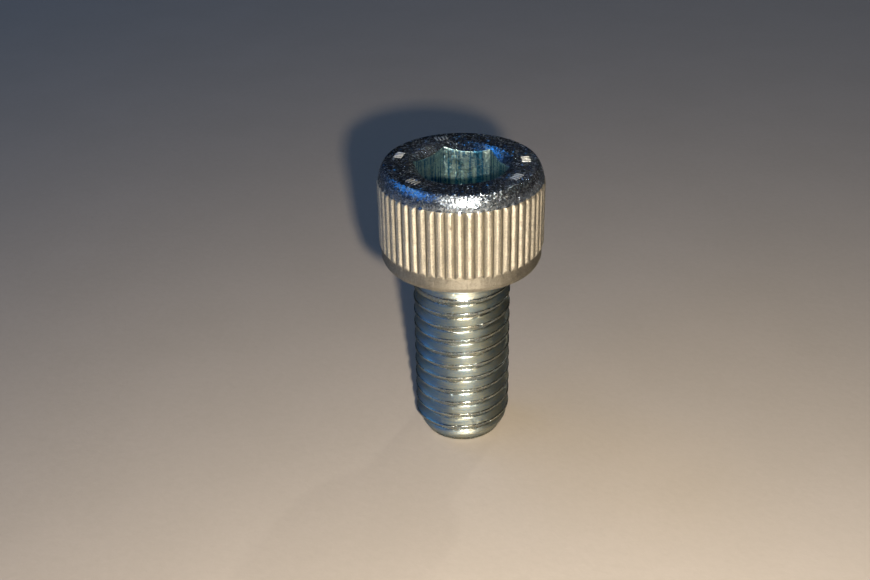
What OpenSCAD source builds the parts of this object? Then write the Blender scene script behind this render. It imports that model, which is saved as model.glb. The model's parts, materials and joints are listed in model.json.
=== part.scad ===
// Hex socket cap screw with a knurled head and a plain-turned shank.
// It stands on its tip: the origin is the middle of the tip's flat end, +Z points to
// the head, and two corners of the hex socket lie over the X axis. Millimetres.
// The shank's cylinder is the one that the crests of the right-hand thread lie on,
// so it is the shank's outside size. The helix itself is not cut here.

/* [Head] */
// Diameter of the head over the ribs of its knurl
head_d = 16.26; // [15:0.02:20]
// Height of the head, from its seat to its flat top
head_h = 10; // [8.5:0.1:13]
// How far down the side the rounded top edge starts
edge_drop = 1.7; // [0.8:0.05:2]
// How far the rounded top edge comes in before the flat top begins
edge_inset = 0.6; // [0.3:0.05:1]
// Corner radius round the bottom of the head
base_round = 0.5; // [0.1:0.05:1]
// How far the seat's rim lies inside the smooth band above it
seat_inset = 0.27; // [0.1:0.01:0.6]

/* [Knurl] */
// Number of straight ribs round the head
rib_count = 54; // [24:1:72]
// Depth of the grooves between the ribs
groove_depth = 0.31; // [0.15:0.01:0.45]
// Share of the rib spacing that a rib's crest takes
crest_share = 0.2; // [0.1:0.05:0.4]
// Height of the smooth band under the knurl
band_h = 1.4; // [1.1:0.1:2]
// How far the smooth band lies inside the ribs' crests
band_step = 0.21; // [0.1:0.01:0.3]
// How far the head's smooth top edge lies inside the ribs' crests
edge_step = 0.13; // [0.05:0.01:0.2]
// Length over which the ribs run out at each end
rib_runout = 0.35; // [0.1:0.05:0.6]
// Angle of the first rib from the X axis, in degrees
rib_turn = 4.44; // [0:0.01:15]

/* [Socket] */
// Size of the hex key, across its flats
key_size = 8; // [5:0.5:8]
// How much wider than the key the socket is, across its flats
key_clearance = 0.08; // [0.02:0.01:0.18]
// Depth of the socket's six flat walls, from the flat top
socket_depth = 5.2; // [4.4:0.1:6]
// How much deeper the coned floor is at its middle
floor_drop = 1.1; // [0.2:0.1:1.5]
// Diameter of the chamfer round the socket's mouth
mouth_d = 10.12; // [9.7:0.02:11]
// Included angle of that chamfer, in degrees
mouth_angle = 116; // [90:1:130]

/* [Shank] */
// Length of the shank, from the head's seat to the tip
shank_l = 20; // [12:1:80]
// Diameter of the shank over the thread's crests
shank_d = 9.78; // [9.2:0.02:10]
// Diameter of the neck under the head
neck_d = 8.9; // [8.2:0.1:9.1]
// Length of the neck, from the head's seat
neck_l = 1.6; // [1:0.1:3]
// Length over which the neck widens to the shank
neck_runout = 0.6; // [0.2:0.1:1.5]
// Radius of the fillet between the neck and the seat
neck_fillet = 0.5; // [0.2:0.05:0.8]
// Diameter of the flat end of the tip
tip_d = 7.7; // [6:0.1:9]
// Length of the tip's chamfer
tip_l = 2; // [0.5:0.1:3]

/* [Index ticks] */
// Directions of the groups of raised ticks on the flat top, in degrees from the X axis
tick_turns = [14, 117, 172, 234, 335];
// Number of ticks in a group
tick_count = 4; // [1:1:6]
// Diameter of the circle that the ticks' middles lie on
tick_circle_d = 12.5; // [12.1:0.1:13]
// Length of a tick, along the head's radius
tick_l = 0.9; // [0.4:0.1:1]
// Width of a tick
tick_w = 0.16; // [0.1:0.02:0.24]
// Height that a tick stands above the flat top
tick_h = 0.08; // [0.04:0.01:0.15]
// Spacing of the ticks in a group, between their middles
tick_pitch = 0.36; // [0.3:0.02:0.5]

/* [Hidden] */
$fn = 96;
steel = [0.68, 0.66, 0.60];
arc_steps = 10; // segments in each rounded stretch of the profile
sunk = 0.1; // how deep the ribs and ticks are rooted in the blank
over = 1; // how far a cutting tool reaches past the face it cuts

// heights above the tip
seat_z = shank_l;
top_z = seat_z + head_h;
knurl_low_z = seat_z + band_h;
knurl_high_z = top_z - edge_drop;

// radii of the head
crest_r = head_d / 2;
valley_r = crest_r - groove_depth;
band_r = crest_r - band_step;
edge_r = crest_r - edge_step;
seat_r = band_r - seat_inset;
top_r = edge_r - edge_inset;

// the top edge is one arc, upright where it leaves the side
edge_round = (edge_drop * edge_drop + edge_inset * edge_inset) / (2 * edge_inset);
edge_sweep = asin(edge_drop / edge_round);

// the seat's rim is a quarter of an ellipse
base_rise = base_round;

// the socket
hex_r = (key_size + key_clearance) / 2 / cos(30);
mouth_r = mouth_d / 2;
mouth_depth = mouth_r / tan(mouth_angle / 2);

// the shank
shank_r = shank_d / 2;
neck_r = neck_d / 2;
tip_r = tip_d / 2;

tick_step = tick_pitch / (tick_circle_d / 2) * 180 / PI;

// Points of an arc of an ellipse, from one angle to another
function arc(mid, rx, rz, from, to) = [
    for (i = [0 : arc_steps])
        let (a = from + (to - from) * i / arc_steps)
            mid + [rx * cos(a), rz * sin(a)]
];

// Outline of the turned blank to the right of its axis: tip, shank, neck, seat and head.
// Between the smooth band and the top edge it keeps to the bottom of the knurl's grooves.
function blank_outline() = concat(
    [[0, 0], [tip_r, 0], [shank_r, tip_l]],
    [[shank_r, seat_z - neck_l - neck_runout], [neck_r, seat_z - neck_l]],
    arc([neck_r + neck_fillet, seat_z - neck_fillet], neck_fillet, neck_fillet, 180, 90),
    arc([seat_r, seat_z + base_rise], seat_inset, base_rise, -90, 0),
    [[band_r, knurl_low_z], [valley_r, knurl_low_z + band_r - valley_r]],
    [[valley_r, knurl_high_z - rib_runout]],
    arc([edge_r - edge_round, knurl_high_z], edge_round, edge_round, 0, edge_sweep),
    [[0, top_z]]
);

// Outline that the ribs' crests keep to, with a run-out at each end
function rib_outline() = [
    [valley_r - sunk, knurl_low_z],
    [band_r, knurl_low_z],
    [crest_r, knurl_low_z + rib_runout],
    [crest_r, knurl_high_z - rib_runout],
    [edge_r, knurl_high_z],
    [valley_r - sunk, knurl_high_z]
];

// Corners of the knurl seen from above: each rib has a narrow crest and two slopes
function knurl_corners() = [
    for (i = [0 : rib_count - 1])
        let (mid = rib_turn + i * 360 / rib_count, pitch = 360 / rib_count)
            for (corner = [
                [valley_r, -(1 - crest_share) / 2],
                [crest_r, -crest_share / 2],
                [crest_r, crest_share / 2],
                [valley_r, (1 - crest_share) / 2]
            ])
                let (a = mid + corner[1] * pitch)
                    corner[0] * [cos(a), sin(a)]
];

module blank() {
    rotate_extrude() polygon(blank_outline());
}

module ribs() {
    intersection() {
        translate([0, 0, knurl_low_z - over])
            linear_extrude(knurl_high_z - knurl_low_z + 2 * over)
                polygon(knurl_corners());
        rotate_extrude() polygon(rib_outline());
    }
}

module ticks() {
    for (turn = tick_turns, i = [0 : tick_count - 1])
        rotate(turn + (i - (tick_count - 1) / 2) * tick_step)
            translate([(tick_circle_d - tick_l) / 2, -tick_w / 2, top_z - sunk])
                cube([tick_l, tick_w, sunk + tick_h]);
}

// What the punch leaves open: a coned floor, six flat walls and the mouth's chamfer
module socket() {
    translate([0, 0, top_z - socket_depth]) {
        cylinder(r = hex_r, h = socket_depth + over, $fn = 6);
        intersection() {
            translate([0, 0, -floor_drop])
                cylinder(r1 = 0, r2 = hex_r, h = floor_drop);
            translate([0, 0, -floor_drop - over])
                cylinder(r = hex_r, h = floor_drop + over, $fn = 6);
        }
    }
    translate([0, 0, top_z - mouth_depth])
        cylinder(r1 = 0, r2 = mouth_r * (1 + over / mouth_depth), h = mouth_depth + over);
}

module cap_screw() {
    color(steel)
        difference() {
            union() {
                blank();
                ribs();
                ticks();
            }
            socket();
        }
}

cap_screw();
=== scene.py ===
# %% [markdown]
# # A hex socket cap screw, cell by cell
#
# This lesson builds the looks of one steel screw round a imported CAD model. The CAD model
# gives the real size: a head, a hex socket and a plain shank. What it leaves out is what the
# eye looks for on a real fastener: the rolled thread, the rounded ribs of the knurl, the soft
# edges that catch the light, and the skin of zinc plate. Every shape below is a surface worked
# out with numpy, as a function of the angle round the screw's axis and of the distance along
# its outline.
#
# The frame comes first. It says where the tip, the seat and the flat top are, so that no
# height is typed twice.

# %% Load the frame
import json
import math

import bmesh
import bpy
import numpy as np
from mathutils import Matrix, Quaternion, Vector


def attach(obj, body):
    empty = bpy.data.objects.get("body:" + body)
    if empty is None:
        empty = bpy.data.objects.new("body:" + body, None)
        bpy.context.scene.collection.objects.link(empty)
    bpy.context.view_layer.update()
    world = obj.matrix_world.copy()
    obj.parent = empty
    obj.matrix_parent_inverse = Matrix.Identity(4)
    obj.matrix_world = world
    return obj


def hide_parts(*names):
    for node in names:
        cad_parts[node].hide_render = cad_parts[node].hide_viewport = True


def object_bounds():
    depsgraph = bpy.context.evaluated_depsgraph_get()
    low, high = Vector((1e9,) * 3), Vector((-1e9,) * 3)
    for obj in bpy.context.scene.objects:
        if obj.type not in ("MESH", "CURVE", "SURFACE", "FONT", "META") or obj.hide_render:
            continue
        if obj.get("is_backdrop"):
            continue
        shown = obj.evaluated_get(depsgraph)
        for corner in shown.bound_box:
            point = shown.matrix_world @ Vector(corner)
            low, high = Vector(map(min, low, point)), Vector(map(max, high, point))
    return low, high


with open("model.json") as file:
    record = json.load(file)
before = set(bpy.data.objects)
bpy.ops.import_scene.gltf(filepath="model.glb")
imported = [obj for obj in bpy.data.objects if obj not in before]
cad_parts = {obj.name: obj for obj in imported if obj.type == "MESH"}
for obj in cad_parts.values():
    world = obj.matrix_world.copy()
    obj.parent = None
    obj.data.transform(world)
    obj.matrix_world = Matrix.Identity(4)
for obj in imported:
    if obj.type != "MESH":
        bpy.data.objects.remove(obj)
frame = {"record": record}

cad_low, cad_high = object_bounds()
MM = 0.001
mounts = {m["name"]: m for m in frame["record"]["mounts"]}

seat_z = mounts["bearing_face"]["pos_m"][2] / MM
top_z = mounts["hex_socket"]["pos_m"][2] / MM
crest_r = mounts["shank"]["dims"]["r_mm"]
rib_r = cad_high.x / MM
print(f"seat at {seat_z:.2f}, flat top at {top_z:.2f}, thread radius {crest_r:.2f} mm")

# %% [markdown]
# ## The camera
#
# The camera comes before the shapes, because it tells how fine they have to be. It stands close
# by, a little above the head, and looks slightly past the screw's left side. A close camera
# gives the strong perspective that makes the head look larger than the tip. Placing it by an
# azimuth, an elevation and a distance round the seat keeps the numbers readable. A free
# roll of about one degree is then added, because a hand never holds a camera quite level.

# %% Camera
view_azimuth = math.radians(9.0)
view_elevation = math.radians(27.99)
view_distance = 115.24 * MM
view_roll = math.radians(-1.14)
seat = Vector((0, 0, seat_z * MM))
aim = Vector((-2.36, -2.11, 16.95)) * MM

away = Vector((
    math.sin(view_azimuth) * math.cos(view_elevation),
    -math.cos(view_azimuth) * math.cos(view_elevation),
    math.sin(view_elevation),
))
camera = bpy.data.objects.new("camera", bpy.data.cameras.new("camera"))
camera.data.sensor_width = 36.0
camera.data.lens = 47.86
camera.data.clip_start = 0.005
camera.data.clip_end = 20.0
camera.location = seat + away * view_distance
line_of_sight = (aim - camera.location).normalized()
camera.rotation_mode = "QUATERNION"
camera.rotation_quaternion = (
    Quaternion(line_of_sight, -view_roll) @ line_of_sight.to_track_quat("-Z", "Y")
)
bpy.context.scene.collection.objects.link(camera)
bpy.context.scene.camera = camera
print("camera at", [round(x / MM, 1) for x in camera.location], "mm")

# %% [markdown]
# ## Rings of points
#
# A turned or rolled part is a stack of rings. Each ring is an array of points, one for each
# direction round the axis, and two rings next to each other are joined by a band of quads. The
# helpers below work on "stations": a station is a pair (radius, height), and either of the
# two may be an array with one value for each direction, which is how ribs and hexagons come in.
#
# Real edges are never sharp. A bright line along an edge is what tells the eye that it looks at
# metal, so corners of the outline are replaced by a short curve.

# %% Helpers for outlines and rings
def station(radius, height, columns):
    """One ring as an array of (radius, height), with a value for each column."""
    ring = np.empty((columns, 2))
    ring[:, 0] = radius
    ring[:, 1] = height
    return ring


def straight(start, end, steps):
    """Rings on straight lines from one station to another, without the last."""
    t = np.linspace(0.0, 1.0, steps, endpoint=False)[:, None, None]
    return start + (end - start) * t


def bend(before, corner, after, reach, steps=4):
    """A rounded corner: the quadratic curve that leaves the line from before to corner at the
    distance reach from the corner, and meets the line to after at the same distance."""
    def toward(target):
        gap = target - corner
        length = np.maximum(np.linalg.norm(gap, axis=-1, keepdims=True), 1e-9)
        return corner + gap * np.minimum(reach / length, 0.5)
    a, b = toward(before), toward(after)
    t = np.linspace(0.0, 1.0, steps)[:, None, None]
    return a * (1 - t) ** 2 + corner * 2 * t * (1 - t) + b * t ** 2


def turned(rings, turns):
    """Points (x, y, z) of rings given as (radius, height) at each angle."""
    r, z = rings[..., 0], rings[..., 1]
    return np.stack([r * np.cos(turns), r * np.sin(turns), z], axis=-1)


def smooth(t):
    """0 below 0, 1 above 1, and an S-curve with level ends in between."""
    t = np.clip(t, 0.0, 1.0)
    return t * t * (3 - 2 * t)


def soft_min(a, b, width):
    """The lower of a and b, with the crease between them rounded over width."""
    h = np.clip(0.5 + 0.5 * (b - a) / width, 0.0, 1.0)
    return b + (a - b) * h - width * h * (1 - h)


# %% [markdown]
# The mesh itself is collected in one small class. A band between two rings of the same number
# of points is made of quads. Where a fine ring meets a coarse one, each quad takes the extra
# points of the fine ring along its edge: that is only done on a flat face, where such a
# many-cornered face shades as well as a quad.

# %% Collect bands of faces into one mesh
class Skin:
    """Points and faces of one closed surface, with a material number for each face."""

    def __init__(self):
        self.points, self.faces, self.slots, self.count = [], [], [], 0

    def _add(self, points):
        start = self.count
        flat = points.reshape(-1, 3)
        self.points.append(flat)
        self.count += len(flat)
        return start

    def rings(self, grid, slot, wrap=True):
        """Quads over a grid of rows and columns. With wrap, the last column joins the first."""
        rows, columns = grid.shape[:2]
        index = self._add(grid) + np.arange(rows * columns).reshape(rows, columns)
        right = np.roll(index, -1, axis=1) if wrap else index[:, 1:]
        left = index if wrap else index[:, :-1]
        quads = np.stack([left[:-1], right[:-1], right[1:], left[1:]], axis=-1)
        self._keep(quads.reshape(-1, 4), slot)

    def _keep(self, polygons, slot):
        self.faces.extend(polygons.tolist())
        self.slots.append(np.full(len(polygons), slot))

    def step_up(self, coarse, fine, slot):
        """A flat band from a coarse ring up to a ring with a whole multiple of its points."""
        share = len(fine) // len(coarse)
        low = self._add(coarse) + np.arange(len(coarse))
        high = self._add(fine) + np.arange(len(fine))
        along = high[(np.arange(len(coarse))[:, None] * share + np.arange(share + 1)) % len(fine)]
        back = np.stack([np.roll(low, -1), low], axis=-1)
        self._keep(np.concatenate([along, back], axis=-1)[:, ::-1], slot)

    def helix(self, grid, lag, slot):
        """Quads over a grid that climbs: its last column joins the first, lag rows on."""
        rows, columns = grid.shape[:2]
        index = self._add(grid) + np.arange(rows * columns).reshape(rows, columns)
        body = np.stack([index[:-1, :-1], index[:-1, 1:], index[1:, 1:], index[1:, :-1]], axis=-1)
        last, first = index[lag:, -1], index[:-lag, 0]
        seam = np.stack([last[:-1], first[:-1], first[1:], last[1:]], axis=-1)
        self._keep(np.concatenate([body.reshape(-1, 4), seam]), slot)

    def build(self, name, materials, merge=1.5e-6):
        """The mesh object: points in metres, doubles merged, normals outwards, smooth."""
        mesh = bpy.data.meshes.new(name)
        mesh.from_pydata(np.concatenate(self.points) * MM, [], self.faces)
        for material in materials:
            mesh.materials.append(material)
        mesh.polygons.foreach_set("material_index", np.concatenate(self.slots).astype(np.int32))
        work = bmesh.new()
        work.from_mesh(mesh)
        bmesh.ops.remove_doubles(work, verts=work.verts, dist=merge)
        bmesh.ops.dissolve_degenerate(work, edges=work.edges, dist=merge)
        bmesh.ops.recalc_face_normals(work, faces=work.faces)
        open_edges = sum(1 for e in work.edges if len(e.link_faces) != 2)
        work.to_mesh(mesh)
        work.free()
        mesh.polygons.foreach_set("use_smooth", np.ones(len(mesh.polygons), bool))
        piece = bpy.data.objects.new(name, mesh)
        bpy.context.scene.collection.objects.link(piece)
        triangles = sum(len(p.vertices) - 2 for p in mesh.polygons)
        print(f"{name}: {triangles} triangles, {open_edges} edges not shared by two faces")
        return piece


skin = Skin()
TOP, KNURL, THREAD, SOCKET, MARK = range(5)

# %% [markdown]
# ## The head
#
# The head of a socket screw is struck cold in a die from the end of a steel wire. Its side is
# then knurled: a roller presses straight grooves into it, and the metal that it pushes aside
# stands up as ribs. So a rib is a little higher than the plain head beside it and a groove is a
# little deeper. The ribs fade out where the roller's edge was.
#
# A displacement map could make such ribs, but they catch the light at the silhouette, so they
# are real geometry here: twelve columns to a rib. The rib's section is a broad crest with
# rounded shoulders over a narrow groove, made by mixing a straight ramp with an S-curve.

# %% Head: sizes
rib_count = 54
rib_turn = math.radians(4.44)
groove_depth = 0.26
band_step = 0.21
band_height = 1.4
seat_inset = 0.27
base_round = 0.5
edge_step = 0.13
edge_drop = 1.7
edge_inset = 0.6

valley_r = rib_r - groove_depth
band_r = rib_r - band_step
edge_r = rib_r - edge_step
seat_r = band_r - seat_inset
flat_r = edge_r - edge_inset
band_top = seat_z + band_height
edge_z = top_z - edge_drop
edge_round = (edge_drop ** 2 + edge_inset ** 2) / (2 * edge_inset)
print(f"head: {2 * rib_r:.2f} mm over its ribs, {2 * flat_r:.2f} mm across its flat top")

# %% Head: columns and ribs
columns_per_rib = 12
columns = rib_count * columns_per_rib
turns = np.arange(columns) * (2 * np.pi / columns)
# shares of the rib spacing: from a rib's middle to its foot, and the length of its slope
rib_foot = 0.49
rib_slope = 0.34

rng = np.random.default_rng(7)
phase = ((turns - rib_turn) / (2 * np.pi) * rib_count + 0.5) % 1.0 - 0.5
which = np.round((turns - rib_turn) / (2 * np.pi) * rib_count).astype(int) % rib_count
ramp = np.clip((rib_foot - np.abs(phase)) / rib_slope, 0.0, 1.0)
rib_shape = 0.5 * ramp + 0.5 * smooth(ramp)
rib_height = 1.0 - 0.12 * rng.random(rib_count)[which]
rib_start = 0.12 * rng.random(rib_count)[which]
rib_stop = 0.25 * rng.random(rib_count)[which]
print(f"ribs: {rib_count}, from {rib_height.min():.2f} to {rib_height.max():.2f} of full height")

# %% [markdown]
# The outline of the side runs from the seat's rim, up over the smooth band and the ribs, to the
# rounded top edge. At each height the ring is a mix of the plain outline and the ribs: the mix
# fades in above the band and fades out below the top edge. Near the band it fades in later on
# a rib's crest than in a groove, which gives the ribs their slanted ends.

# %% Head: the side
band_rise = 0.6
rise_length = 0.22
rise_lag = 0.22
fall_length = 0.42
fall_lead = 0.12
fall_lag = 0.2


def plain_side(z):
    """Radius of the head's side without its knurl: at the base a mix of a cone and a quarter of
    an ellipse, which leaves a crease under the band, then the band, and one arc at the top."""
    low = np.clip((z - seat_z) / base_round, 0.0, 1.0)
    base = seat_r + (band_r - seat_r) * (0.7 * low + 0.3 * np.sqrt(1 - (1 - low) ** 2))
    middle = band_r + (edge_r - band_r) * smooth((z - band_top) / band_rise)
    high = np.maximum(z - edge_z, 0.0)
    arc = edge_r - edge_round + np.sqrt(edge_round ** 2 - high ** 2)
    return np.where(z < seat_z + base_round, base, np.where(z < edge_z, middle, arc))


def side(z):
    """Stations of the side at height z: the plain side, and the ribs where they have faded in
    above the band and not yet faded out below the top edge."""
    crest = rib_shape * rib_height
    rise = smooth((z - band_top - rib_start - rise_lag * crest) / rise_length)
    fall = 1.0 - smooth((z - edge_z + fall_lead - rib_stop + fall_lag * crest) / fall_length)
    ribbed = valley_r + (rib_r - valley_r) * crest
    plain = plain_side(z)
    ring = station(0.0, z, columns)
    ring[:, 0] = plain + (ribbed - plain) * rise * fall
    return ring


# the rings lie close together where the outline bends
base_heights = seat_z + base_round * (1 - np.cos(np.linspace(0, np.pi / 2, 9)))
rib_heights = np.concatenate([
    np.linspace(band_top - 0.03, band_top + 0.65, 10),
    np.linspace(band_top + 1.2, edge_z - 1.0, 6),
    np.linspace(edge_z - 0.5, edge_z + 0.65, 12),
])
edge_heights = np.linspace(edge_z + 0.8, top_z, 7)[:-1]
band_heights = seat_z + base_round + np.array([0.03, 0.06, 0.45])
heights = np.concatenate([base_heights, band_heights, rib_heights, edge_heights])
side_rings = np.stack([side(z) for z in heights])
print(f"head side: {len(heights)} rings of {columns} points")

# %% [markdown]
# ## The flat top and the socket
#
# The socket is punched into the head while it is formed, and the mouth is chamfered first. A
# round chamfer that meets six flat walls leaves a scalloped edge: the wall's middle is nearer
# the axis than its corners, so the chamfer cuts lower there. No boolean is needed for that.
# The walls are a ring whose radius is that of a hexagon, and the chamfer's height at that
# radius is where the wall begins.

# %% Socket: sizes and a rounded hexagon
flat_distance = 4.04
corner_round = 0.16
mouth_r = 5.06
mouth_flat = 0.6
mouth_slope = 1 / math.tan(math.radians(58))
socket_depth = 5.2
floor_drop = 1.1
hex_r = flat_distance / math.cos(math.pi / 6)


def hexagon(turn, apothem, round_r):
    """Radius of a hexagon with rounded corners, with a corner at angle 0. Near a corner it is the
    rounding circle's far side, and elsewhere the wall's straight line."""
    off = np.abs((turn + np.pi / 6) % (np.pi / 3) - np.pi / 6)
    wall = apothem / np.cos(np.pi / 6 - off)
    middle = (apothem - round_r) / np.cos(np.pi / 6)
    inside = np.maximum(round_r ** 2 - (middle * np.sin(off)) ** 2, 0.0)
    touch = np.arctan2(round_r * 0.5, middle + round_r * np.cos(np.pi / 6))
    return np.where(off < touch, middle * np.cos(off) + np.sqrt(inside), wall)


# %% Socket: the rings from the top edge to the floor
socket_columns = columns // 2
socket_turns = turns[::2]
hex_ring = hexagon(socket_turns, flat_distance, corner_round)
flat_outer = station(flat_r, top_z, columns)
flat_inner = station(mouth_r + mouth_flat, top_z, socket_columns)
rim = station(mouth_r, top_z, socket_columns)
lip = station(hex_ring, top_z - (mouth_r - hex_ring) * mouth_slope, socket_columns)
floor_z = top_z - socket_depth - floor_drop * (1 - hex_ring / hex_r)
foot = station(hex_ring, floor_z, socket_columns)
pole = station(0.0, top_z - socket_depth - floor_drop, socket_columns)

inward = station(flat_r - 1.0, top_z, columns)
edge_corner = bend(side_rings[-1], flat_outer, inward, 0.14, 5)
flat_rings = np.concatenate([side_rings, edge_corner])
socket_rings = np.concatenate([
    flat_inner[None],
    bend(flat_inner, rim, lip, 0.05, 4),
    bend(rim, lip, foot, 0.08, 4),
    straight(lip + (foot - lip) * 0.2, foot, 3),
    bend(lip, foot, pole, 0.12, 4),
    straight(foot + (pole - foot) * 0.3, pole, 2),
    pole[None],
])

# %% Head and socket: faces
# the knurl's finish ends just above the run-out of the ribs
knurled = int(np.searchsorted(heights, edge_z + 0.1))
skin.rings(turned(flat_rings[:knurled + 1], turns), KNURL)
skin.rings(turned(flat_rings[knurled:], turns), TOP)
skin.step_up(turned(flat_inner, socket_turns), turned(edge_corner[-1], turns), TOP)
skin.rings(turned(socket_rings[:6], socket_turns), TOP)
skin.rings(turned(socket_rings[5:], socket_turns), SOCKET)
print(f"head: {knurled} rings of knurl below {len(flat_rings) - knurled} of smooth edge")
print(f"socket: {len(socket_rings)} rings, walls {2 * flat_distance:.2f} mm apart")

# %% [markdown]
# ## Index ticks
#
# The flat top of a real screw often carries small raised marks. Here they are plain ticks in
# five groups, which say nothing. Each is an ellipsoid that is squared off in plan: the sine and
# the cosine round its upright axis are raised to a small power, which makes an oblong with
# rounded corners and leaves the top softly domed. It is rooted a little below the flat top, so
# that no slit shows.

# %% Ticks: one bar
def curve_power(values, power):
    """The values raised to a power, with their signs kept."""
    return np.sign(values) * np.abs(values) ** power


def bar(length, width, height):
    """Grid of a squared ellipsoid: x = a cos(v)^p cos(u)^q, y = b cos(v)^p sin(u)^q and
    z = h sin(v), where u runs round the bar and v from pole to pole. A small q makes the plan
    square, and p a little below 1 makes the sides a little steeper."""
    p, q, around = 0.9, 0.35, 20
    v = np.linspace(-np.pi / 2, np.pi / 2, 9)
    u = np.arange(around) * (2 * np.pi / around)
    v, u = np.meshgrid(v, u, indexing="ij")
    out = curve_power(np.cos(v), p)
    out[[0, -1]] = 0.0
    return np.stack([
        out * curve_power(np.cos(u), q) * length / 2,
        out * curve_power(np.sin(u), q) * width / 2,
        np.sin(v) * height,
    ], axis=-1)


# %% Ticks: five groups
tick_length = 0.9
tick_width = 0.14
tick_height = 0.075
tick_pitch = 0.36
tick_circle = 6.25
tick_count = 4
tick_groups = np.radians([14, 117, 172, 234, 335])

tick = bar(tick_length, tick_width, tick_height)
tick_offsets = (np.arange(tick_count) - (tick_count - 1) / 2) * (tick_pitch / tick_circle)
for group in tick_groups:
    for turn in group + tick_offsets:
        outward = np.array([math.cos(turn), math.sin(turn), 0.0])
        across = np.array([-math.sin(turn), math.cos(turn), 0.0])
        place = outward * (tick_circle + tick[..., :1]) + across * tick[..., 1:2]
        skin.rings(place + [0, 0, top_z] + tick * [0, 0, 1], MARK)
print(f"ticks: {len(tick_groups) * tick_count} bars, {tick[..., 0].size} points each")

# %% [markdown]
# ## The thread
#
# The thread isn't cut. The blank rolls between two ridged dies, which press the roots in and
# push the crests up. So the roots and the crests are round, the flanks are smooth, and the neck
# that the dies don't reach keeps the blank's own radius, between root and crest.
#
# A thread could be a swept profile with a Screw modifier, but its ends then need booleans. Here
# the grid itself follows the helix. A row runs along the thread, at a constant place in the
# profile, so crests and roots are clean lines. After one full turn a row has climbed by one
# pitch, so the last column joins the first one a whole profile further on. The ends are simple:
# heights are held between two level planes, and points that fall together are merged.

# %% Thread: sizes and profile
pitch = 1.5
root_r = 4.08
neck_r = 4.45
first_crest = seat_z - 4.138
crest_turn = math.radians(-81.0)
thread_top = seat_z - 1.5
# the shoulder's outline: how far it lies below the seat, and its radius there
shoulder_drop = [1.85, 1.92, 2.04, 2.40, 2.47, 2.52]
shoulder_radius = [neck_r, neck_r + 0.05, neck_r + 0.17, crest_r - 0.09, crest_r - 0.03, crest_r]
tip_r = 3.85
tip_length = 2.0
tip_belly = 0.10
tip_round = 0.07
tip_round_height = 0.12

# half of the profile, from a crest to the root: distance along the axis, and radius
drawn_crest = 4.89
half_profile = np.array([
    (0.0, 4.862), (0.045, 4.884), (0.085, 4.889), (0.12, 4.872), (0.155, 4.822),
    (0.19, 4.762), (0.47, 4.277), (0.53, 4.180), (0.60, 4.124), (0.675, 4.090),
])
root_point = np.array([(0.75, root_r)])
mirrored = half_profile[:0:-1] * [-1, 1] + [pitch, 0]
profile = np.concatenate([half_profile, root_point, mirrored])
profile[:, 1] += crest_r - drawn_crest
per_pitch = len(profile)
print(f"thread: pitch {pitch} mm, {crest_r - root_r:.2f} mm deep")

# %% Thread: its ends and its dents
fade_length = 0.8
crease = 0.06
# dents: how many turns they spread over, and the ranges of width in turns and depth in mm
nick_reach = 14.0
nick_width = (0.002, 0.006)
nick_depth = (0.01, 0.06)
# only the crests are dented: from this radius on, fully after this rise
nick_floor = 4.6
nick_rise = 0.25


def tip_cone(z):
    """Radius of the tip's chamfer at height z: a line from the flat end to the crests, with a
    slight belly, and a small round at the end."""
    t = np.clip(z / tip_length, 0.0, 1.5)
    cone = tip_r + (crest_r - tip_r) * t + tip_belly * t * (1 - t)
    return cone - tip_round * (1 - smooth(z / tip_round_height))


def thread_radius(z, wanted):
    """The profile's radius. At the top a shoulder leads from the neck to the crests, and the
    grooves deepen below it. At the bottom all is held inside the tip's chamfer."""
    shoulder = np.interp(seat_z - z, shoulder_drop, shoulder_radius)
    fade = smooth((seat_z - shoulder_drop[-1] - z) / fade_length)
    return soft_min(shoulder - (crest_r - wanted) * fade, tip_cone(z), crease)


def nicks(travel, count=70):
    """Depth of the dents along the thread: a sum of narrow bell curves at random places, as a
    function of the travel along the helix in turns."""
    middles = rng.uniform(0.0, nick_reach, count)
    widths = rng.uniform(*nick_width, count)
    depths = rng.uniform(*nick_depth, count)
    return (depths * np.exp(-((travel[..., None] - middles) / widths) ** 2)).sum(axis=-1)


# %% Thread: the helix
thread_columns = columns // 3
thread_turns = turns[::3]
turn_rows = int(math.ceil(thread_top / pitch)) + 3
row_drop = (np.arange(turn_rows)[:, None] * pitch + profile[:, 0]).ravel()
row_radius = np.tile(profile[:, 1], turn_rows)
climb = (thread_turns - crest_turn) / (2 * np.pi) * pitch
start_z = first_crest + 3 * pitch
grid_z = np.clip(start_z + climb[None, :] - row_drop[:, None], 0.0, thread_top)
travel = np.arange(turn_rows)[:, None] - climb[None, :] / pitch
on_crest = smooth((profile[:, 1] - nick_floor) / nick_rise)
dents = (nicks(travel)[:, None, :] * on_crest[:, None]).reshape(grid_z.shape)
grid_r = thread_radius(grid_z, row_radius[:, None] - dents)
helix_grid = np.stack([
    grid_r * np.cos(thread_turns), grid_r * np.sin(thread_turns), grid_z
], axis=-1)
skin.helix(helix_grid, per_pitch, THREAD)
print(f"thread: {per_pitch} rows a pitch, {len(row_drop)} rows, {thread_columns} columns")

# %% [markdown]
# Above the thread come the neck, the small fillet under the head and the flat seat, and below
# it the flat end of the tip. The seat is where the fine columns of the head meet the
# coarser ones of the shank.

# %% Neck, seat and tip
fillet = 0.5
fillet_rings = np.stack([
    station(neck_r + fillet * (1 - math.cos(a)), seat_z - fillet * (1 - math.sin(a)), thread_columns)
    for a in np.linspace(0, np.pi / 2, 7)
])
neck_rings = np.concatenate([
    station(neck_r, thread_top, thread_columns)[None],
    station(neck_r, seat_z - 0.8, thread_columns)[None],
    fillet_rings,
    station(seat_r - 0.45, seat_z, thread_columns)[None],
])
skin.rings(turned(neck_rings, thread_turns), TOP)

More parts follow.
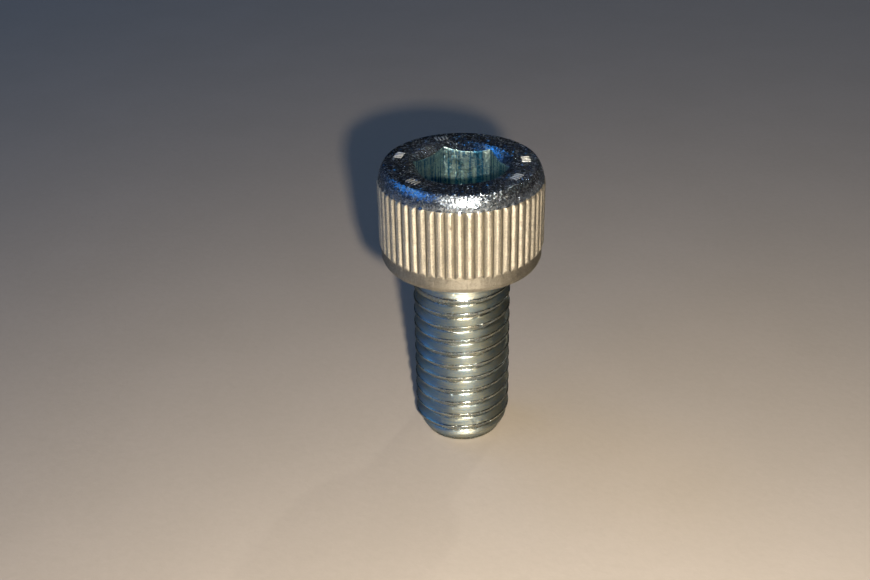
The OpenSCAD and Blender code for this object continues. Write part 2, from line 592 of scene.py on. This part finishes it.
# a narrow ring inside the seat's rim keeps the many-cornered faces on the flat
seat_rings = np.stack([station(seat_r - 0.1, seat_z, columns), side_rings[0]])
skin.step_up(turned(neck_rings[-1], thread_turns), turned(seat_rings[0], turns), KNURL)
skin.rings(turned(seat_rings, turns), KNURL)

end_r = float(tip_cone(np.array(0.0)))
end_rings = np.stack([station(r, 0.0, thread_columns) for r in (end_r, end_r - 0.15, 2.0, 0.0)])
skin.rings(turned(end_rings, thread_turns), THREAD)
print(f"neck {2 * neck_r:.2f} mm, seat {2 * seat_r:.2f} mm and tip {2 * end_r:.2f} mm across")

# %% [markdown]
# ## Shader arithmetic
#
# Materials are node trees, and most of a tree is arithmetic. The class below wraps one socket
# and gives it the operators of Python, so that a mask can be written as a formula. Every
# operator adds one Math node. Any other node is made by one method, which takes the
# node's type, its settings and what goes into its sockets.

# %% Node helper
class Value:
    """A shader socket with arithmetic: each operator adds a Math node."""

    def __init__(self, tree, socket):
        self.tree, self.socket = tree, socket

    def math(self, operation, a, b=0.0):
        return self.tree.node("ShaderNodeMath", {"operation": operation}, {0: a, 1: b})[0]

    def __add__(self, other):
        return self.math("ADD", self, other)

    def __radd__(self, other):
        return self.math("ADD", other, self)

    def __mul__(self, other):
        return self.math("MULTIPLY", self, other)

    def __rmul__(self, other):
        return self.math("MULTIPLY", other, self)

    def __sub__(self, other):
        return self.math("SUBTRACT", self, other)

    def __rsub__(self, other):
        return self.math("SUBTRACT", other, self)

    def __pow__(self, other):
        return self.math("POWER", self, other)

    def above(self, low, high):
        """0 below low, 1 above high, with a smooth step between."""
        return self.tree.node(
            "ShaderNodeMapRange", {"interpolation_type": "SMOOTHSTEP"},
            {"Value": self, "From Min": low, "From Max": high},
        )["Result"]


class Outputs:
    """The outputs of a node, each wrapped when it is asked for."""

    def __init__(self, tree, node):
        self.tree, self.made = tree, node

    def __getitem__(self, key):
        return Value(self.tree, self.made.outputs[key])


class Tree:
    """The node tree of one material."""

    def __init__(self, name):
        self.material = bpy.data.materials.new(name)
        self.material.use_nodes = True
        self.nodes = self.material.node_tree.nodes
        self.links = self.material.node_tree.links
        self.nodes.clear()

    def node(self, kind, settings=None, inputs=None):
        """Adds a node: its settings first, then a link or a constant for each socket."""
        made = self.nodes.new(kind)
        for key, value in (settings or {}).items():
            setattr(made, key, value)
        for key, value in (inputs or {}).items():
            if isinstance(value, Value):
                self.links.new(value.socket, made.inputs[key])
            else:
                made.inputs[key].default_value = value
        return Outputs(self, made)

    def vector(self, operation, a, b):
        return self.node("ShaderNodeVectorMath", {"operation": operation}, {0: a, 1: b})[0]

    def noise(self, vector, size, detail=2.0, roughness=0.5):
        """Noise whose bumps are about size millimetres across, from 0 to 1."""
        return self.node("ShaderNodeTexNoise", None, {
            "Vector": vector, "Scale": 1 / (size * MM), "Detail": detail, "Roughness": roughness,
        })["Fac"]

    def blend(self, share, first, second):
        """A colour between two colours."""
        sockets = {0: share, 6: first, 7: second}
        return self.node("ShaderNodeMix", {"data_type": "RGBA"}, sockets)[2]


def opaque(colour):
    """A colour with an alpha of one."""
    return (*colour, 1.0)


# %% [markdown]
# ## Zinc plate
#
# The steel is plated with zinc a few micrometres thick, and then passivated, which leaves a pale
# colour that wanders between blue and straw. Seen close up the plate is a crust of fine
# crystals, each of them a tiny mirror that leans its own way. That is why a plated screw
# sparkles round its highlights. A noise bump would look like hammered metal. Voronoi cells
# do it better: inside a cell the height is a tilted plane, so the whole cell shades as one
# facet.

# %% Zinc plate: crystals
MICRON = 1e-6
crystal = 0.12


def crystals(tree, place):
    """The plate's crystals as Voronoi cells. Gives the height of a tilted plane inside each
    cell, which is the way from the cell's middle times the cell's own random lean, and three
    random numbers for each cell."""
    cells = tree.node("ShaderNodeTexVoronoi", None, {"Vector": place, "Scale": 1 / (crystal * MM)})
    chance = tree.node("ShaderNodeSeparateColor", None, {0: cells["Color"]})
    offset = tree.vector("SUBTRACT", place, cells["Position"])
    tilt = tree.vector("SUBTRACT", cells["Color"], (0.5, 0.5, 0.5))
    facets = tree.node("ShaderNodeVectorMath", {"operation": "DOT_PRODUCT"}, {0: offset, 1: tilt})
    return facets["Value"], chance


print(f"crystals: {crystal} mm across")

# %% [markdown]
# The same plate looks different on each stretch of the screw, because the tools that formed the
# steel left it smooth, drawn, ribbed or turned. A noise that is stretched gives such marks. Along
# the axis the pattern is drawn out twenty times. Round the turn it is looked up by radius and
# height, so that it forms rings, and a little of x and y makes the rings wander.

# %% Zinc plate: marks of the tools
def tool_marks(tree, place, along, radius, x, y, z):
    """Fine marks from 0 to 1 that run along the axis, or round the turn."""
    if along == "axis":
        stretch = {"Vector": place, "Scale": (1.0, 1.0, 0.05)}
        drawn = tree.node("ShaderNodeMapping", None, stretch)["Vector"]
        return tree.noise(drawn, 0.26, 3.0, 0.6)
    drawn = tree.node("ShaderNodeCombineXYZ", None, {0: radius, 1: z, 2: (x + y * 0.7) * 0.012})
    return tree.noise(drawn["Vector"], 0.08, 1.0, 0.5)


# %% [markdown]
# One function makes all the finishes. The grooves of the knurl get a painted shade, a dark colour
# that is found by the distance from the axis. The thread's crests and roots are burnished by the
# dies and its flanks are not, and they are told apart in the same way.

# %% Zinc plate: the finish
# sizes in millimetres, and the depth of a pit in micrometres
pit_spacing = 0.9
pit_depth = 10.0
wave_size = 0.6
patch_size = 2.2
speck_size = 0.22
cloud_size = 0.7
edge_tint = (0.2, 0.2, 0.2)


def zinc(name, dark, light, rough, speck, lean, glint, lines, streak, ripple, along, deep=None,
         flank=0.0, brushed=0.0):
    """Passivated zinc plate. Its colour runs between dark and light. rough is the mean roughness
    and speck is how much rougher its dull specks are. Each crystal is a facet that leans its own
    way by up to half of lean, and a few lean more by up to half of glint. lines is the depth in
    micrometres of the marks that a tool leaves along the axis or along the turn, and streak is
    how strongly they colour the plate. ripple is the height in micrometres of its soft waves.
    deep is a painted shade: the colour at the bottom of the knurl's grooves, and the plain band
    below them takes half of it. flank is how much rougher the thread's flanks are than its crests and
    roots.
    brushed is how far fine turned lines, too fine to draw, stretch the highlights along the
    axis."""
    tree = Tree(name)
    place = tree.node("ShaderNodeTexCoord")["Object"]
    parts = tree.node("ShaderNodeSeparateXYZ", None, {0: place})
    x, y, z = parts["X"], parts["Y"], parts["Z"]
    radius = (x * x + y * y) ** 0.5
    facets, chance = crystals(tree, place)
    marks = tool_marks(tree, place, along, radius, x, y, z)
    holes = tree.node("ShaderNodeTexVoronoi", None, {"Vector": place, "Scale": 1 / (pit_spacing * MM)})
    pits = holes["Distance"].above(0.04, 0.16)
    waves = tree.noise(place, wave_size, 2.0, 0.5)
    height = facets * (chance["Blue"] ** 8.0 * glint + lean)
    height = height + (marks * lines + pits * pit_depth + waves * ripple) * MICRON
    bump = tree.node("ShaderNodeBump", None, {"Height": height, "Strength": 1.0, "Distance": 1.0})

    patches = tree.noise(place, patch_size, 3.0, 0.6)
    # painted facet shading: each crystal's colour is lighter or darker by the same random number that
    # sets its facet's lean along x; the patches and the tool marks add their own tone
    share = patches * 0.8 + chance["Red"] * 0.4 + marks * streak - (0.1 + 0.5 * streak)
    colour = tree.blend(share.above(0.1, 0.9), opaque(dark), opaque(light))
    # painted shade: the knurl's grooves are darkened towards the deep colour, and the plain band below
    # them takes half of it
    if deep:
        raised = radius.above((valley_r - 0.02) * MM, (rib_r - 0.14) * MM)
        ribbed = z.above((band_top - 0.1) * MM, (band_top + 0.1) * MM)
        colour = tree.blend((raised - 0.5) * ribbed + 0.5, opaque(deep), colour)

    dull = tree.noise(place, speck_size, 1.0, 0.5).above(0.56, 0.70)
    spread = tree.noise(place, cloud_size, 3.0, 0.6) * 0.12 + dull * speck + (rough - 0.06)
    if flank:
        off_root = radius.above((root_r + 0.03) * MM, (root_r + 0.15) * MM)
        off_crest = 1.0 - radius.above((crest_r - 0.16) * MM, (crest_r - 0.06) * MM)
        spread = spread + off_root * off_crest * flank
    shader = tree.node("ShaderNodeBsdfPrincipled", None, {
        "Base Color": colour, "Metallic": 1.0, "Roughness": spread, "Normal": bump["Normal"],
        "Specular Tint": opaque(edge_tint),
        "Anisotropic": brushed, "Anisotropic Rotation": 0.25,
    })
    tree.node("ShaderNodeOutputMaterial", None, {"Surface": shader["BSDF"]})
    return tree.material


# %% [markdown]
# The five finishes follow, in the order of the mesh's material numbers: the smooth top edge and
# neck, the knurl, the thread, the socket's walls and the ticks. The smooth ones are the
# glossiest, the knurl is dull and warm, and the socket's drawn walls are the most streaked.

# %% Zinc plate: five finishes
materials = [
    zinc("zinc_bright", dark=(0.22, 0.29, 0.39), light=(0.52, 0.58, 0.62), rough=0.24, speck=0.20,
         lean=0.18, glint=1.8, lines=6.0, streak=0.5, ripple=8.0, along="turn"),
    # the knurl's deep colour is a painted shade in its grooves
    zinc("zinc_knurl", dark=(0.52, 0.485, 0.40), light=(0.78, 0.72, 0.58), rough=0.55, speck=0.06,
         lean=0.16, glint=0.6, lines=12.0, streak=1.0, ripple=6.0, along="axis",
         deep=(0.10, 0.09, 0.072), brushed=0.5),
    zinc("zinc_thread", dark=(0.26, 0.34, 0.39), light=(0.47, 0.45, 0.33), rough=0.25, speck=0.06,
         lean=0.07, glint=0.6, lines=24.0, streak=1.2, ripple=3.0, along="turn", flank=0.25,
         brushed=0.5),
    zinc("zinc_socket", dark=(0.05, 0.22, 0.36), light=(0.68, 0.86, 0.78), rough=0.32, speck=0.14,
         lean=0.18, glint=2.2, lines=40.0, streak=3.0, ripple=8.0, along="axis"),
    zinc("zinc_mark", dark=(0.60, 0.60, 0.56), light=(0.84, 0.82, 0.75), rough=0.50, speck=0.10,
         lean=0.16, glint=0.8, lines=4.0, streak=0.3, ripple=4.0, along="axis"),
]
print("finishes:", [m.name for m in materials])

# %% [markdown]
# All the faces become one mesh, because the real screw is one piece. It takes the place of the
# CAD model's plain screw and keeps to its body. The Weighted Normal modifier makes the large
# faces decide the shading, so that the flat top stays flat right up to its edges.

# %% Build the screw
screw = skin.build("cap_screw_plated", materials)
weighted = screw.modifiers.new("weighted normals", "WEIGHTED_NORMAL")
weighted.keep_sharp = True
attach(screw, "root")
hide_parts("cap_screw")

# %% [markdown]
# ## The floor
#
# The screw stands on a plain pale sheet. It is much larger than the screw, so that its far edge
# stays out of the picture. A very slight grain and a faint cloudiness are enough to keep it
# from looking like a computed plane, and they stay weaker than anything on the screw.

# %% Floor
reach = 3.0
corners = [(-reach, -reach, 0), (reach, -reach, 0), (reach, reach, 0), (-reach, reach, 0)]
mesh = bpy.data.meshes.new("floor")
mesh.from_pydata(corners, [], [(0, 1, 2, 3)])
floor = bpy.data.objects.new("floor", mesh)
bpy.context.scene.collection.objects.link(floor)

pale_shade = (0.46, 0.402, 0.330)
pale_light = (0.49, 0.428, 0.356)
tree = Tree("floor")
place = tree.node("ShaderNodeTexCoord")["Object"]
cloud = tree.noise(place, 14.0, 3.0, 0.6) * 0.5 + tree.noise(place, 0.9, 3.0, 0.7) * 0.5
grain = tree.noise(place, 0.7, 2.0, 0.6) * (20 * MICRON)
bump = tree.node("ShaderNodeBump", None, {"Height": grain, "Strength": 1.0, "Distance": 1.0})
shader = tree.node("ShaderNodeBsdfPrincipled", None, {
    "Base Color": tree.blend(cloud.above(0.3, 0.7), opaque(pale_shade), opaque(pale_light)),
    "Roughness": 0.55, "Normal": bump["Normal"],
})
tree.node("ShaderNodeOutputMaterial", None, {"Surface": shader["BSDF"]})
mesh.materials.append(tree.material)
floor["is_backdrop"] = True
print(f"floor: {2 * reach:.0f} m wide")

# %% [markdown]
# ## The lights
#
# Metal shows what stands round it, so the lights are part of the finish. A small warm key light
# stands close by on the camera's side. It gives the hot spot on the rounded top edge, the
# bright ribs and the dark shadow behind the head. Two cool panels on the left, the broader one
# low down, are what turn the left flanks of the thread blue. A small lamp from behind opens a
# second, fainter shadow, and a dim panel keeps the right side from going black. Placing each
# one by azimuth, elevation and distance makes it easy to work out which face mirrors it into
# the camera.

# %% Lights
middle = Vector((0, 0, 0.02))
warm = (1.0, 0.90, 0.77)
cool = (0.06, 0.36, 1.0)


def lamp(name, azimuth, elevation, distance, size, watts, colour, aim=middle):
    """An oblong light placed round the middle of the screw, which faces the point aim."""
    data = bpy.data.lights.new(name, "AREA")
    data.shape = "RECTANGLE"
    data.size, data.size_y = size
    data.color = colour
    data.energy = watts
    a, e = math.radians(azimuth), math.radians(elevation)
    back = Vector((math.sin(a) * math.cos(e), -math.cos(a) * math.cos(e), math.sin(e)))
    made = bpy.data.objects.new(name, data)
    made.location = middle + back * distance
    made.rotation_mode = "QUATERNION"
    made.rotation_quaternion = (Vector(aim) - made.location).to_track_quat("-Z", "Y")
    bpy.context.scene.collection.objects.link(made)
    print(f"{name}: {watts} W at {[round(c, 3) for c in made.location]}")


lamp("key", 13.45, 24.4, 0.121, (0.004, 0.004), 0.278, warm, aim=(0.03, -0.05, 0))
lamp("cool_side", -69, 30, 1.50, (1.60, 0.60), 4.45, cool)
lamp("cool_high", -112, 50, 1.50, (0.5, 0.4), 2.0, cool)
lamp("back_fill", 162, 47, 0.80, (0.02, 0.02), 0.43, (1.0, 0.94, 0.86))
lamp("dim_side", 100, 30, 1.50, (1.2, 0.7), 0.07, (1.0, 1.0, 0.8))

# %% The dim room round them
dim_room = (0.0042, 0.0049, 0.0056)
world = bpy.data.worlds.new("studio")
world.use_nodes = True
world.node_tree.nodes["Background"].inputs["Color"].default_value = opaque(dim_room)
bpy.context.scene.world = world
bpy.context.scene.view_settings.view_transform = "Standard"

# %% [markdown]
# ## Does it still fit?
#
# The looks must never outgrow the CAD model. The box of what is shown is written next to the box
# of the CAD model, so that the two can be compared.

# %% Compare the boxes and finish
low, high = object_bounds()
margins = (*(low - cad_low), *(cad_high - high))
print("margins inside the CAD box, mm:", [round(m / MM, 3) for m in margins])
